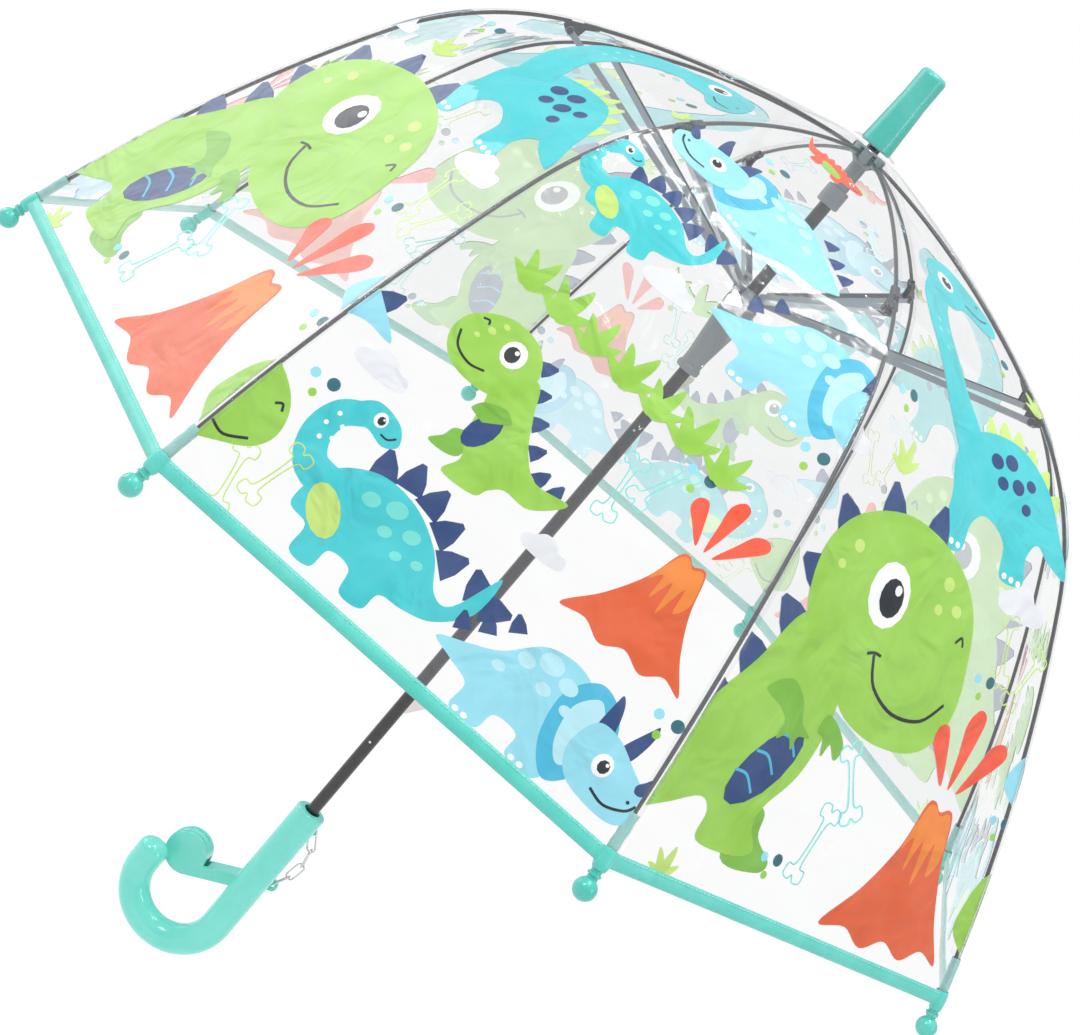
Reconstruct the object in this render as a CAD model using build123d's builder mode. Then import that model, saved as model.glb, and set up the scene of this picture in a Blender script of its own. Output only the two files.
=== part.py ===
"""Children's see-through dome umbrella, standing upright with its ferrule towards +Z.

The origin is the middle of the handle's straight grip, on the shaft's axis. The hook opens towards -X.
The canopy is open at rest. Ribs lie at 22.5 degrees each side of the +X axis and every 45 degrees on.
Heights are along Z and radii are from the shaft's axis, all in millimetres.
"""

import os
from math import cos, radians, sin

from build123d import *

# Handle: a straight grip, a half-circle hook and a short rounded tip
grip_radius = 10.0
grip_half_length = 50.0
hook_radius = 30.5
hook_tip_length = 6.0
hook_tip_round = 7.0
mouth_radius = 5.6
mouth_depth = 5.0
stud_radius = 1.2
stud_x = 8.0
stud_z = 33.0
stud_end_y = 18.0
chain_y = 15.0

# Shaft: a steel tube from inside the grip to inside the ferrule
shaft_radius = 4.0
shaft_wall = 0.6
shaft_bottom = -20.0
shaft_top = 612.0
fixed_gap = 0.02

# Frame linkage: ribs hang on the notch, stretchers on the runner, and both meet at the rib joint
rib_count = 8
rib_step = 360.0 / rib_count
first_rib = rib_step / 2
pivot_circle = 9.0
notch_pivot_z = 566.0
joint_radius = 177.0
joint_z = 515.5
crown_pivot_z = 2 * joint_z - notch_pivot_z
wire_radius = 1.1
wire_lift = 5.0
upper_bulge = 7.0
shoulder = (253.6, 454.6)
hem_corner = (350.0, 258.4)
wire_past_hem = 6.5

# Pivots
ring_wire_radius = 0.6
eye_radius = 2.0
eye_hole = 0.72
eye_half = 0.8
slot_half = 1.2
slot_inner = 6.3
rivet_radius = 1.0
rivet_hole = 1.06

# Rib joint, from the inside out: rib end, cheeks, stretcher ears, rivet heads
rib_end_half = 1.0
cheek_inner = 1.35
cheek_outer = 2.05
ear_inner = 2.3
ear_outer = 2.9
rivet_head_inner = 3.1
rivet_head_outer = 3.7
rivet_head_radius = 1.9

# Stretcher channel
channel_half_height = 1.75
channel_start = 15.0
channel_wall = 0.6
web_cut_back = 7.0

# Notch, collar and ferrule
notch_radius = 11.0
notch_bottom = 562.4
notch_top = 570.0
notch_cap = 1.4
sleeve_radius = 4.8
sleeve_bottom = 543.0
collar_radius = 7.0
collar_bottom = 531.0
ferrule_base_z = 572.6
ferrule_base_radius = 10.0
ferrule_tip_radius = 8.25
ferrule_taper_end = 606.0
ferrule_top = 624.5

# Runner
crown_radius = 11.0
crown_above = 2.6
crown_below = 3.6
runner_bottom = 408.0
runner_bore = 4.4
keyway_radius = 7.9
keyway_half = 1.3

# Spring catches in the shaft
catch_half = 0.8
catch_slot_half = 1.15
catch_pin_radius = 0.8
top_catch_pivot_z = 362.0
top_catch_shoulder = 407.4
top_catch_reach = 7.4
bottom_catch_pivot_z = 110.0
bottom_catch_shoulder = 157.4
bottom_catch_reach = 14.0

# Canopy film, its hem tape and the rib tips
film_standoff = 1.9
film_thickness = 0.3
film_edge_gap = 0.15
film_clamp_z = 571.1
hem_tape_width = 7.5
hem_tape_thickness = 0.8
hem_tape_gap = 0.05
ball_radius = 5.8
ball_offset = 12.7
socket_radius = 2.7
socket_start = 1.2

# Whistle, in its own frame: drum at the centre, mouthpiece along the first axis
drum_centre = (-45.0, -34.0)
drum_radius = 14.0
whistle_tilt = 29.7
whistle_near_y = 12.5
whistle_far_y = 26.5
whistle_wall = 1.6
mouthpiece_length = 55.0
mouthpiece_low = -14.0
mouthpiece_high = -6.0
airway_half = 1.2
lug_centre = (58.5, -7.5)
lug_radius = 4.2
lug_hole = 2.0
link_wire_radius = 0.6
link_half_width = 2.6
link_overlap = 0.9
chain_points = [(stud_x, stud_z), (14.6, 23.1), (16.6, 11.4), (14.6, -0.3)]

half_gore = radians(rib_step / 2)


def azimuths():
    """The angle of each rib about the shaft, in degrees."""
    return [first_rib + rib_step * number for number in range(rib_count)]


def radial_plane(azimuth, offset=0.0):
    """The upright plane through the shaft's axis at this angle: first axis outwards, second axis up."""
    a = radians(azimuth)
    plane = Plane(origin=(0, 0, 0), x_dir=(cos(a), sin(a), 0), z_dir=(sin(a), -cos(a), 0))
    return plane.offset(offset)


def draw_upper_rib():
    """The rib's centre line from the notch to the rib joint, bowed upwards. Call inside a BuildLine."""
    return SagittaArc((pivot_circle, notch_pivot_z), (joint_radius, joint_z + wire_lift), upper_bulge)


# The rib's centre line in radius and height, from which the film and the tips take their places
with BuildLine():
    upper_guide = draw_upper_rib()
    # from the rib joint to the hem: a tighter bend, then a long easy one
    bend_guide = TangentArc((joint_radius, joint_z + wire_lift), shoulder, tangent=upper_guide % 1)
    skirt_guide = TangentArc(shoulder, hem_corner, tangent=bend_guide % 1)


def guide_point(guide, place):
    """A point of the rib's centre line, as its radius and height."""
    point = guide @ place
    return point.X, point.Y


def along_gore(guide, place, standoff):
    """A point of the canopy in the middle of a gore, beside a place on the rib's centre line."""
    point, way = guide @ place, guide % place
    return (point.X - way.Y * standoff) * cos(half_gore), point.Y + way.X * standoff


def finish(solid, name):
    """Label one sub-part and write it."""
    solid.label = name
    export_step(solid, f"parts/{name}.step")


os.makedirs("parts", exist_ok=True)

# ---------------------------------------------------------------- handle
with BuildPart() as handle:
    with BuildLine(Plane.XZ) as hook_line:
        Line((0, grip_half_length), (0, -grip_half_length))
        CenterArc((-hook_radius, -grip_half_length), hook_radius, 0, -180)
        Line((-2 * hook_radius, -grip_half_length), (-2 * hook_radius, -grip_half_length + hook_tip_length + 10))
    with BuildSketch(Plane.XY.offset(grip_half_length)):
        Circle(grip_radius)
    sweep(path=hook_line.line)
    ends = handle.faces().filter_by(Axis.Z).sort_by(Axis.X)
    fillet(ends[0].edges(), hook_tip_round)
    fillet(handle.faces().filter_by(Axis.Z).sort_by(Axis.X)[-1].edges(), 1.8)
    with Locations((0, 0, grip_half_length - mouth_depth / 2)):
        Cylinder(mouth_radius, mouth_depth, mode=Mode.SUBTRACT)
    with BuildSketch(Plane.XY.offset(shaft_bottom)):
        Circle(shaft_radius + fixed_gap)
    extrude(amount=grip_half_length - shaft_bottom, mode=Mode.SUBTRACT)
    with BuildSketch(Plane.XZ.offset(-stud_end_y)):
        with Locations((stud_x, stud_z)):
            Circle(stud_radius)
    extrude(amount=stud_end_y - 4)
    with BuildSketch(Plane.XZ.offset(-stud_end_y)):
        with Locations((stud_x, stud_z)):
            Circle(2 * stud_radius)
    extrude(amount=1.5)
finish(handle.part, "handle")


# ---------------------------------------------------------------- shaft
catches = [(top_catch_pivot_z, top_catch_shoulder), (bottom_catch_pivot_z, bottom_catch_shoulder)]
with BuildPart() as shaft:
    with BuildSketch(Plane.XY.offset(shaft_bottom)):
        Circle(shaft_radius)
        Circle(shaft_radius - shaft_wall, mode=Mode.SUBTRACT)
    extrude(amount=shaft_top - shaft_bottom)
    for pivot_z, shoulder_z in catches:
        # the slot in the +X wall, and the holes for the catch's pin
        with BuildSketch(Plane.XY.offset(pivot_z + 2)):
            with Locations((shaft_radius, 0)):
                Rectangle(2 * shaft_radius, 2 * catch_slot_half)
        extrude(amount=shoulder_z - pivot_z, mode=Mode.SUBTRACT)
        with BuildSketch(Plane.XZ):
            with Locations((0, pivot_z)):
                Circle(catch_pin_radius + 0.05)
        extrude(amount=2 * shaft_radius, both=True, mode=Mode.SUBTRACT)
finish(shaft.part, "shaft")


# ---------------------------------------------------------------- spring catches
def build_catch(name, pivot_z, shoulder_z, reach, nose_height, slope_height):
    """A flat blade inside the shaft with a cross pin at its foot and a nose out through the slot."""
    root = shaft_radius + 0.5
    outline = [
        (-1.0, pivot_z),
        (1.0, pivot_z),
        (2.4, shoulder_z - slope_height),
        (root, shoulder_z - slope_height + 1.5),
        (reach, shoulder_z - nose_height),
        (reach, shoulder_z - 0.4),
        (reach - 0.6, shoulder_z),
        (root, shoulder_z - 0.22 * (reach - root)),
        (0.8, shoulder_z - 0.22 * (reach - root)),
    ]
    with BuildPart() as catch:
        with BuildSketch(Plane.XZ):
            with BuildLine():
                Polyline(*outline, close=True)
            make_face()
            with Locations((0, pivot_z)):
                Circle(1.6)
        extrude(amount=catch_half, both=True)
        with BuildSketch(Plane.XZ):
            with Locations((0, pivot_z)):
                Circle(catch_pin_radius)
        extrude(amount=shaft_radius - 0.1, both=True)
    finish(catch.part, name)


build_catch("top_catch", top_catch_pivot_z, top_catch_shoulder, top_catch_reach, 3.0, 12.0)
build_catch("bottom_catch", bottom_catch_pivot_z, bottom_catch_shoulder, bottom_catch_reach, 7.0, 22.0)


# ---------------------------------------------------------------- notch, ring wires, collar, ferrule
def radial_slots(bottom, top):
    """One bar for each rib or stretcher end, to cut slots that are open to the outside."""
    middle = slot_inner + 5
    with BuildPart() as bars:
        with BuildSketch(Plane.XY.offset(bottom)):
            with PolarLocations(middle, rib_count, start_angle=first_rib):
                Rectangle(10, 2 * slot_half)
        extrude(amount=top - bottom)
    return bars.part


def ring(height, radius):
    """A round ring about the shaft, as thick as this radius says."""
    with BuildPart() as torus:
        with Locations((0, 0, height)):
            Torus(pivot_circle, radius)
    return torus.part


groove_radius = ring_wire_radius + 0.05
crown_top = crown_pivot_z + crown_above
crown_bottom = crown_pivot_z - crown_below
notch_slots = radial_slots(notch_bottom - 2, notch_top - notch_cap)
notch_groove = ring(notch_pivot_z, groove_radius)
runner_slots = radial_slots(crown_pivot_z - eye_radius - 0.6, crown_top + 1)
runner_groove = ring(crown_pivot_z, groove_radius)

with BuildPart() as top_notch:
    with BuildSketch(Plane.XZ):
        with BuildLine():
            Polyline(
                (0, sleeve_bottom),
                (sleeve_radius, sleeve_bottom),
                (sleeve_radius, notch_bottom - 3),
                (slot_inner + 1.2, notch_bottom),
                (notch_radius, notch_bottom),
                (notch_radius, notch_top - 0.8),
                (notch_radius - 0.8, notch_top),
                (0, notch_top),
                close=True,
            )
        make_face()
    revolve(axis=Axis.Z)
    with BuildSketch(Plane.XY.offset(sleeve_bottom)):
        Circle(shaft_radius + fixed_gap)
    extrude(amount=notch_top - sleeve_bottom, mode=Mode.SUBTRACT)
    add([notch_slots, notch_groove], mode=Mode.SUBTRACT)
finish(top_notch.part, "top_notch")

finish(ring(notch_pivot_z, ring_wire_radius), "notch_wire")

with BuildPart() as stop_collar:
    with BuildSketch(Plane.XY.offset(collar_bottom)):
        Circle(collar_radius)
        Circle(shaft_radius + fixed_gap, mode=Mode.SUBTRACT)
    extrude(amount=sleeve_bottom - 0.1 - collar_bottom)
    chamfer(stop_collar.edges().filter_by(GeomType.CIRCLE).filter_by(lambda e: e.radius > 5), 0.8)
finish(stop_collar.part, "stop_collar")

with BuildPart() as ferrule:
    with BuildSketch(Plane.XZ):
        with BuildLine():
            Polyline(
                (0, ferrule_base_z),
                (ferrule_base_radius - 0.6, ferrule_base_z),
                (ferrule_base_radius, ferrule_base_z + 0.8),
                (ferrule_tip_radius, ferrule_taper_end),
                (ferrule_tip_radius, ferrule_top),
                (0, ferrule_top),
                close=True,
            )
        make_face()
    revolve(axis=Axis.Z)
    fillet(ferrule.faces().sort_by(Axis.Z)[-1].edges(), 3.2)
    with BuildSketch(Plane.XY.offset(ferrule_base_z)):
        Circle(shaft_radius + fixed_gap)
    extrude(amount=shaft_top - ferrule_base_z, mode=Mode.SUBTRACT)
finish(ferrule.part, "ferrule")

# ---------------------------------------------------------------- runner and its ring wire
with BuildPart() as runner:
    with BuildSketch(Plane.XZ):
        with BuildLine():
            Polyline(
                (0, runner_bottom),
                (7.0, runner_bottom),
                (7.6, runner_bottom + 0.8),
                (7.6, runner_bottom + 3.2),
                (6.6, runner_bottom + 4.4),
                (6.6, runner_bottom + 10),
                (10.2, crown_bottom - 12),
                (10.4, crown_bottom - 3),
                (9.6, crown_bottom - 2),
                (crown_radius, crown_bottom),
                (crown_radius, crown_top - 0.6),
                (crown_radius - 0.6, crown_top),
                (0, crown_top),
                close=True,
            )
        make_face()
    revolve(axis=Axis.Z)
    with BuildSketch(Plane.XY.offset(runner_bottom)):
        Circle(runner_bore)
        with Locations((keyway_radius / 2, 0)):
            Rectangle(keyway_radius, 2 * keyway_half)
    extrude(amount=crown_top - runner_bottom, mode=Mode.SUBTRACT)
    add([runner_slots, runner_groove], mode=Mode.SUBTRACT)
finish(runner.part, "runner")

finish(ring(crown_pivot_z, ring_wire_radius), "runner_wire")


# ---------------------------------------------------------------- ribs
def outline(plane, corners):
    """A flat shape with straight sides on a plane."""
    with BuildSketch(plane) as shape:
        with BuildLine():
            Polyline(*corners, close=True)
        make_face()
    return shape.sketch


def disc(plane, centre, radius):
    """A flat round shape on a plane."""
    with BuildSketch(plane) as shape:
        with Locations(centre):
            Circle(radius)
    return shape.sketch


def clip_point(along, above):
    """A point by the rib joint: along the rib from the joint, and above its centre line."""
    start, way = upper_guide @ 1, upper_guide % 1
    return start.X + way.X * along - way.Y * above, start.Y + way.Y * along + way.X * above


rib_joint = (joint_radius, joint_z)
notch_pivot = (pivot_circle, notch_pivot_z)
crown_pivot = (pivot_circle, crown_pivot_z)
saddle = [clip_point(*spot) for spot in [(-14, -1.6), (-5, -1.6), (-5, 0.9), (-14, 0.9)]]
cheek_corners = [(-14, 0.4), (-14, -1.6), (-6.5, -2.6), (-3.0, -7.0), (2.6, -7.2), (5.5, -3.0), (5.5, 0.2)]
cheek = [clip_point(*spot) for spot in cheek_corners]
rib_end_corners = [(-1.4, -4.2), (1.9, -4.8), (6.0, -0.6), (5.5, 0.6), (2.0, 0.6)]
rib_end_web = [clip_point(*spot) for spot in rib_end_corners]


def build_upper_rib(number, azimuth):
    """Rib wire with an eye for the notch's ring, and a clip with a rivet that holds the rib joint."""
    plane = radial_plane(azimuth)
    with BuildPart() as rib:
        with BuildLine(plane):
            wire = draw_upper_rib().trim(0.008, 0.972)
        with BuildSketch(Plane(origin=wire @ 0, z_dir=wire % 0)):
            Circle(wire_radius)
        sweep(path=wire)
        extrude(disc(plane, notch_pivot, eye_radius), eye_half, both=True)
        extrude(disc(plane, notch_pivot, eye_hole), eye_radius, both=True, mode=Mode.SUBTRACT)
        # saddle that grips the wire's end, and the two cheeks beside the rib joint
        extrude(outline(plane, saddle), cheek_outer, both=True)
        for side in (-1, 1):
            middle = radial_plane(azimuth, side * (cheek_inner + cheek_outer) / 2)
            extrude(outline(middle, cheek), (cheek_outer - cheek_inner) / 2, both=True)
        extrude(disc(plane, rib_joint, rivet_radius + fixed_gap), 2 * cheek_outer, both=True, mode=Mode.SUBTRACT)
        # the rivet is a separate solid, held in the cheeks
        extrude(disc(plane, rib_joint, rivet_radius), rivet_head_outer, both=True)
        for side in (-1, 1):
            middle = radial_plane(azimuth, side * (rivet_head_inner + rivet_head_outer) / 2)
            head_half = (rivet_head_outer - rivet_head_inner) / 2
            extrude(disc(middle, rib_joint, rivet_head_radius), head_half, both=True)
    finish(rib.part, f"rib_upper_{number}")


def build_lower_rib(number, azimuth):
    """Rib end: an eye on the rib joint's rivet, then the curved wire down to the tip."""
    plane = radial_plane(azimuth)
    end, way = skirt_guide @ 1, skirt_guide % 1
    with BuildPart() as rib:
        with BuildLine(plane):
            bend = ThreePointArc(*[guide_point(bend_guide, place) for place in (0.02, 0.5, 1)])
        with BuildLine(plane):
            skirt = ThreePointArc(*[guide_point(skirt_guide, place) for place in (0, 0.5, 1)])
        with BuildLine(plane):
            last = Line(hem_corner, (end.X + way.X * wire_past_hem, end.Y + way.Y * wire_past_hem))
        for piece in (bend, skirt, last):
            with BuildSketch(Plane(origin=piece @ 0, z_dir=piece % 0)):
                Circle(wire_radius)
            sweep(path=piece)
        extrude(outline(plane, rib_end_web), rib_end_half, both=True)
        extrude(disc(plane, rib_joint, 2.3), rib_end_half, both=True)
        extrude(disc(plane, rib_joint, rivet_hole), 3, both=True, mode=Mode.SUBTRACT)
    finish(rib.part, f"rib_lower_{number}")


def build_tip(number, azimuth):
    """Moulded end cap: a socket on the rib's end and a round ball below the hem."""
    end, way = skirt_guide @ 1, skirt_guide % 1
    a = radians(azimuth)
    outwards = Vector(way.X * cos(a), way.X * sin(a), way.Y)
    corner = Vector(end.X * cos(a), end.X * sin(a), end.Y)
    with BuildPart() as tip:
        with BuildSketch(Plane(origin=corner + outwards * socket_start, z_dir=outwards)):
            Circle(socket_radius)
        extrude(amount=ball_offset - socket_start)
        with BuildSketch(Plane(origin=corner + outwards * (socket_start + 3.2), z_dir=outwards)):
            Circle(socket_radius + 0.8)
        extrude(amount=1.4)
        with Locations(corner + outwards * ball_offset):
            Sphere(ball_radius)
        with BuildSketch(Plane(origin=corner, z_dir=outwards)):
            Circle(wire_radius + fixed_gap)
        extrude(amount=wire_past_hem + fixed_gap, mode=Mode.SUBTRACT)
    finish(tip.part, f"tip_{number}")


# ---------------------------------------------------------------- stretchers
def build_stretcher(number, azimuth):
    """Pressed channel from the runner to the rib joint: a flat eye inside, two ears outside."""
    rise, run = joint_z - crown_pivot_z, joint_radius - pivot_circle
    length = (rise**2 + run**2) ** 0.5
    across, up = run / length, rise / length
    plane = radial_plane(azimuth)
    low, high = -channel_half_height, channel_half_height

    def bar_box(start, stop, bottom, top):
        corners = [(start, bottom), (stop, bottom), (stop, top), (start, top)]
        spots = [
            (pivot_circle + across * along - up * above, crown_pivot_z + up * along + across * above)
            for along, above in corners
        ]
        return outline(plane, spots)

    with BuildPart() as bar:
        extrude(bar_box(channel_start - 1, length, low, high), ear_outer, both=True)
        extrude(disc(plane, rib_joint, rivet_head_radius + 0.4), ear_outer, both=True)
        hollow = bar_box(channel_start + 5, length + 4, low + channel_wall, 2 * high)
        extrude(hollow, ear_inner, both=True, mode=Mode.SUBTRACT)
        clearing = bar_box(length - web_cut_back, length + 4, 3 * low, 0)
        extrude(clearing, ear_inner, both=True, mode=Mode.SUBTRACT)
        extrude(bar_box(0, channel_start, -1.5, 1.5), eye_half, both=True)
        extrude(disc(plane, crown_pivot, eye_radius), eye_half, both=True)
        extrude(disc(plane, crown_pivot, eye_hole), eye_radius, both=True, mode=Mode.SUBTRACT)
        extrude(disc(plane, rib_joint, rivet_hole), 2 * ear_outer, both=True, mode=Mode.SUBTRACT)
    finish(bar.part, f"stretcher_{number}")


# ---------------------------------------------------------------- canopy film
def gore_sides(azimuth):
    """The two radial planes just inside the ribs beside a gore, facing out of it."""
    planes = []
    for side in (-1, 1):
        a = radians(azimuth + side * rib_step / 2)
        outwards = Vector(-sin(a), cos(a), 0) * side
        planes.append(Plane(origin=outwards * -film_edge_gap, z_dir=outwards))
    return planes


def film_band(plane, pieces, near, far):
    """A closed band between two standoffs along stretches of the rib's line.

    pieces is a list of (guide, first place, last place), in order down the canopy.
    """
    with BuildSketch(plane) as band:
        with BuildLine():
            for standoff in (near, far):
                for guide, first, last in pieces:
                    places = first, (first + last) / 2, last
                    ThreePointArc(*[along_gore(guide, place, standoff) for place in places])
            for guide, place in ((pieces[0][0], pieces[0][1]), (pieces[-1][0], pieces[-1][2])):
                Line(along_gore(guide, place, near), along_gore(guide, place, far))
        make_face()
    return band.sketch


def build_upper_film(number, azimuth):
    """The crown part of one gore, from the clamp under the ferrule to the rib joints."""
    outer_standoff = film_standoff + film_thickness
    clamp_start, clamp_end = 6.5, notch_radius + 0.6
    with BuildPart() as film:
        with BuildSketch(radial_plane(azimuth)):
            with BuildLine():
                ThreePointArc(
                    (clamp_end, film_clamp_z),
                    along_gore(upper_guide, 0.5, film_standoff),
                    along_gore(upper_guide, 1, film_standoff),
                )
                Line(along_gore(upper_guide, 1, film_standoff), along_gore(upper_guide, 1, outer_standoff))
                ThreePointArc(
                    along_gore(upper_guide, 1, outer_standoff),
                    along_gore(upper_guide, 0.5, outer_standoff),
                    (clamp_end, film_clamp_z + film_thickness),
                )
                Polyline(
                    (clamp_end, film_clamp_z + film_thickness),
                    (clamp_start, film_clamp_z + film_thickness),
                    (clamp_start, film_clamp_z),
                    (clamp_end, film_clamp_z),
                )
            make_face()
        extrude(amount=joint_radius / 2, both=True)
        for side in gore_sides(azimuth):
            split(bisect_by=side, keep=Keep.BOTTOM)
    finish(film.part, f"film_upper_{number}")


def build_lower_film(number, azimuth):
    """The skirt part of one gore, from the rib joints to the hem, with its stretch of hem tape."""
    plane = radial_plane(azimuth)
    outer_standoff = film_standoff + film_thickness
    tape_near = outer_standoff + hem_tape_gap
    tape_start = 1 - hem_tape_width / skirt_guide.length
    skirt = [(bend_guide, 0.004, 1), (skirt_guide, 0, 1)]
    with BuildPart() as film:
        extrude(film_band(plane, skirt, film_standoff, outer_standoff), hem_corner[0] / 2, both=True)
        tape = film_band(plane, [(skirt_guide, tape_start, 1)], tape_near, tape_near + hem_tape_thickness)
        extrude(tape, hem_corner[0] / 2, both=True)
        for side in gore_sides(azimuth):
            split(bisect_by=side, keep=Keep.BOTTOM)
    finish(film.part, f"film_lower_{number}")


for index, rib_azimuth in enumerate(azimuths()):
    build_upper_rib(index + 1, rib_azimuth)
    build_lower_rib(index + 1, rib_azimuth)
    build_tip(index + 1, rib_azimuth)
    build_stretcher(index + 1, rib_azimuth)
    build_upper_film(index + 1, rib_azimuth + rib_step / 2)
    build_lower_film(index + 1, rib_azimuth + rib_step / 2)


# ---------------------------------------------------------------- whistle and its chain
tilt = radians(whistle_tilt)
whistle_way = Vector(cos(tilt), 0, sin(tilt))
whistle_plane = Plane(origin=(drum_centre[0], 0, drum_centre[1]), x_dir=whistle_way, z_dir=(0, -1, 0))


def whistle_depth(y):
    """The whistle's drawing plane moved to this distance behind the shaft's axis."""
    return whistle_plane.offset(-y)


lug = whistle_plane.from_local_coords(Vector(lug_centre[0], lug_centre[1], 0))
chain_points.append((lug.X, lug.Z))

with BuildPart() as whistle:
    with BuildSketch(whistle_depth(whistle_far_y)):
        Circle(drum_radius)
        with BuildLine():
            Polyline(
                (0, mouthpiece_low),
                (mouthpiece_length, mouthpiece_low),
                (mouthpiece_length, mouthpiece_high),
                (0, mouthpiece_high),
                close=True,
            )
        make_face()
    extrude(amount=whistle_far_y - whistle_near_y)
    fillet(whistle.faces().sort_by(Axis((0, 0, 0), tuple(whistle_way)))[-1].edges(), 1.2)
    # chamber inside the drum
    with BuildSketch(whistle_depth(whistle_far_y - whistle_wall)):
        Circle(drum_radius - whistle_wall)
    extrude(amount=whistle_far_y - whistle_near_y - 2 * whistle_wall, mode=Mode.SUBTRACT)
    # airway along the mouthpiece, and the window over the chamber's mouth
    with BuildSketch(whistle_depth(whistle_far_y - 2.5)):
        with Locations((mouthpiece_length / 2 + 4, (mouthpiece_low + mouthpiece_high) / 2)):
            Rectangle(mouthpiece_length + 8, 2 * airway_half)
        with Locations((12, mouthpiece_high)):
            Rectangle(6, 8)
    extrude(amount=whistle_far_y - whistle_near_y - 5, mode=Mode.SUBTRACT)
    # raised rings round the drum
    with BuildSketch(whistle_depth(whistle_far_y - 3)):
        Circle(drum_radius + 0.5)
        Circle(drum_radius - 0.5, mode=Mode.SUBTRACT)
        with Locations((drum_radius, mouthpiece_high)):
            Rectangle(2 * drum_radius, 2 * drum_radius, mode=Mode.SUBTRACT)
    extrude(amount=1.2)
    with BuildSketch(whistle_depth(whistle_near_y + 4.2)):
        Circle(drum_radius + 0.5)
        Circle(drum_radius - 0.5, mode=Mode.SUBTRACT)
        with Locations((drum_radius, mouthpiece_high)):
            Rectangle(2 * drum_radius, 2 * drum_radius, mode=Mode.SUBTRACT)
    extrude(amount=1.2)
    # lug for the chain
    with BuildSketch(whistle_depth(chain_y + 1.1)):
        with Locations(lug_centre):
            Circle(lug_radius)
        with Locations((mouthpiece_length, lug_centre[1])):
            Rectangle(lug_radius, 2 * lug_radius - 1)
    extrude(amount=2.2)
    with BuildSketch(whistle_depth(chain_y + 2)):
        with Locations(lug_centre):
            Circle(lug_hole)
    extrude(amount=4, mode=Mode.SUBTRACT)
finish(whistle.part, "whistle")

links = []
for index, (upper_end, lower_end) in enumerate(zip(chain_points, chain_points[1:])):
    top = Vector(upper_end[0], chain_y, upper_end[1])
    way = Vector(lower_end[0], chain_y, lower_end[1]) - top
    flat_normal = Vector(0, -1, 0)
    normal = flat_normal if index % 2 == 0 else way.normalized().cross(flat_normal)
    reach_before = link_half_width if index == 0 else link_overlap
    link_plane = Plane(origin=top, x_dir=way, z_dir=normal)
    first = link_half_width - reach_before
    last = way.length + link_overlap - link_half_width
    with BuildPart() as link:
        with BuildLine(link_plane) as loop:
            Line((first, link_half_width), (last, link_half_width))
            CenterArc((last, 0), link_half_width, 90, -180)
            Line((last, -link_half_width), (first, -link_half_width))
            CenterArc((first, 0), link_half_width, -90, -180)
        with BuildSketch(Plane(origin=loop.line @ 0, z_dir=loop.line % 0)):
            Circle(link_wire_radius)
        sweep(path=loop.line)
    links.append(link.part)
finish(Compound(children=links), "whistle_chain")
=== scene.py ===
"""Looks of a children's see-through dome umbrella, built round its CAD frame. Everything is in metres.

Each gore of the canopy is a clear film in two rings, with printed pictures, a taped hem, welded seams and
pockets at the rib ends. Flat drawings for the prints are in millimetres, up from the middle of the hem.
"""

import math

import bmesh
import bpy
from mathutils import Matrix, Vector


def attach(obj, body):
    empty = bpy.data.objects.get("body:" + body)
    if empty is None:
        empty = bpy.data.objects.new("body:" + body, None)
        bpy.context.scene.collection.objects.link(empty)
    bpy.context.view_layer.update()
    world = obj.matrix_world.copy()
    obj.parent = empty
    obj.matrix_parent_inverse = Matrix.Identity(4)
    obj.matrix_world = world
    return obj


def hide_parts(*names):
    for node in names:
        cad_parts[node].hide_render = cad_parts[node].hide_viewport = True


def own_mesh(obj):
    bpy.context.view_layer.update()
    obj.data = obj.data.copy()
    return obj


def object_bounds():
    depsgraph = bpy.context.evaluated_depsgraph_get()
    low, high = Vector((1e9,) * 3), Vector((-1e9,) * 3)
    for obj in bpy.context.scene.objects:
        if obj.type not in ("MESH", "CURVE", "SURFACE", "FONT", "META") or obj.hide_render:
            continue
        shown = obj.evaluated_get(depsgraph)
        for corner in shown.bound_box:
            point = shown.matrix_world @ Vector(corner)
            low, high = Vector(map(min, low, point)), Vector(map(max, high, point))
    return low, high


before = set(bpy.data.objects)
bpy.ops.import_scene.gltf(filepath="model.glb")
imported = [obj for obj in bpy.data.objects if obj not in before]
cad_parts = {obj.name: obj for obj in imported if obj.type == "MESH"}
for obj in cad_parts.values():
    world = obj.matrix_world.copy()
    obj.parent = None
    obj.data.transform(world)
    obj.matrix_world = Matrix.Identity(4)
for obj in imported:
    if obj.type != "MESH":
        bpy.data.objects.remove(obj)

cad_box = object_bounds()
MM = 0.001
RIBS = 8
HALF_GORE = math.radians(22.5)

# ------------------------------------------------------------------ the canopy's shape
# The rib's centre line, as radius and height
NOTCH_PIVOT = (0.009, 0.566)
RIB_JOINT = (0.177, 0.5205)
SHOULDER = (0.2536, 0.4546)
HEM_CORNER = (0.350, 0.2584)
UPPER_BULGE = 0.007
FILM_STANDOFF = 0.00205
CLAMP_EDGE = (0.0116, 0.5712)
CLAMP_INNER_RADIUS = 0.0066
HEM_TAPE_WIDTH = 0.0075
GORE_GAP = 0.00012

# The film sags a little between two ribs, with folds: height, waves across and down, shift from gore to gore
SAG = 0.0022
SOFT_FOLDS = [(0.0007, 17, 38, 2.1), (0.0005, 61, -23, 1.3)]
FINE_FOLDS = 0.0003
PUCKER = 0.0004
PUCKER_REACH = 0.035


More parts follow.
